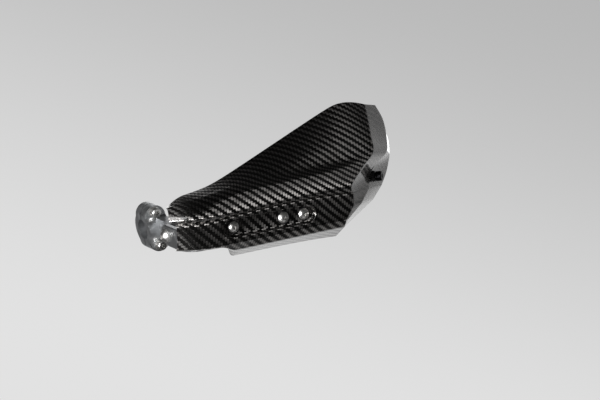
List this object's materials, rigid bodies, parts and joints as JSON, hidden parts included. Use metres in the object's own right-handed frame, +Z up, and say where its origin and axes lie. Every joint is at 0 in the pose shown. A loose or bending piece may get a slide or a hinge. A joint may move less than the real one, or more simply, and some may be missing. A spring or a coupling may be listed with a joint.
{
  "type": "motorcycle hand guard",
  "caption": "Wrap-round motorcycle hand guard for the rider's left: glossy carbon shell with a stadium pocket, on an aluminium bow with a split handlebar clamp and a bar-end plug.",
  "frame": {"origin": "middle of the handlebar clamp's bore", "axes": "+X along the handlebar to its open end, -Y forward, +Z up"},
  "size_m": [0.2995, 0.1338, 0.1322],
  "materials": {
    "carbon": "woven carbon under a clear gloss coat",
    "bow_aluminium": "satin",
    "pocket_steel": "bright zinc",
    "pocket_black": "satin",
    "collar_aluminium": "turned",
    "pocket_rubber": "matt",
    "nut_steel": "zinc",
    "outer_steel": "black oxide",
    "outer_black": "satin",
    "outer_collar_aluminium": "turned",
    "outer_rubber": "matt",
    "outer_nut_steel": "zinc",
    "clamp_aluminium": "satin, machined",
    "cap_aluminium": "satin, machined",
    "clamp_steel": "zinc",
    "clamp_washer_steel": "zinc",
    "link_steel": "bright zinc",
    "link_washer_steel": "zinc",
    "link_nut_steel": "zinc",
    "end_steel": "black oxide",
    "end_washer_steel": "zinc",
    "end_weight": "black anodised",
    "sleeve_rubber": "matt",
    "cone_aluminium": "turned"
  },
  "bodies": {
    "root": {"guard_shell": "carbon", "mounting_bow": "bow_aluminium", "pocket_screws": "pocket_steel", "pocket_washers": "pocket_black", "pocket_collars": "collar_aluminium", "pocket_dampers": "pocket_rubber", "pocket_nuts": "nut_steel", "outer_bolt": "outer_steel", "outer_spacer": "outer_black", "outer_collar": "outer_collar_aluminium", "outer_damper": "outer_rubber", "outer_nut": "outer_nut_steel", "clamp_front": "clamp_aluminium", "clamp_rear": "cap_aluminium", "clamp_screws": "clamp_steel", "clamp_washers": "clamp_washer_steel", "link_bolt": "link_steel", "link_washers": "link_washer_steel", "link_nut": "link_nut_steel", "bar_end_bolt": "end_steel", "bar_end_washer": "end_washer_steel", "bar_end_weight": "end_weight", "expander_sleeve": "sleeve_rubber", "expander_cone": "cone_aluminium"}
  },
  "joints": []
}
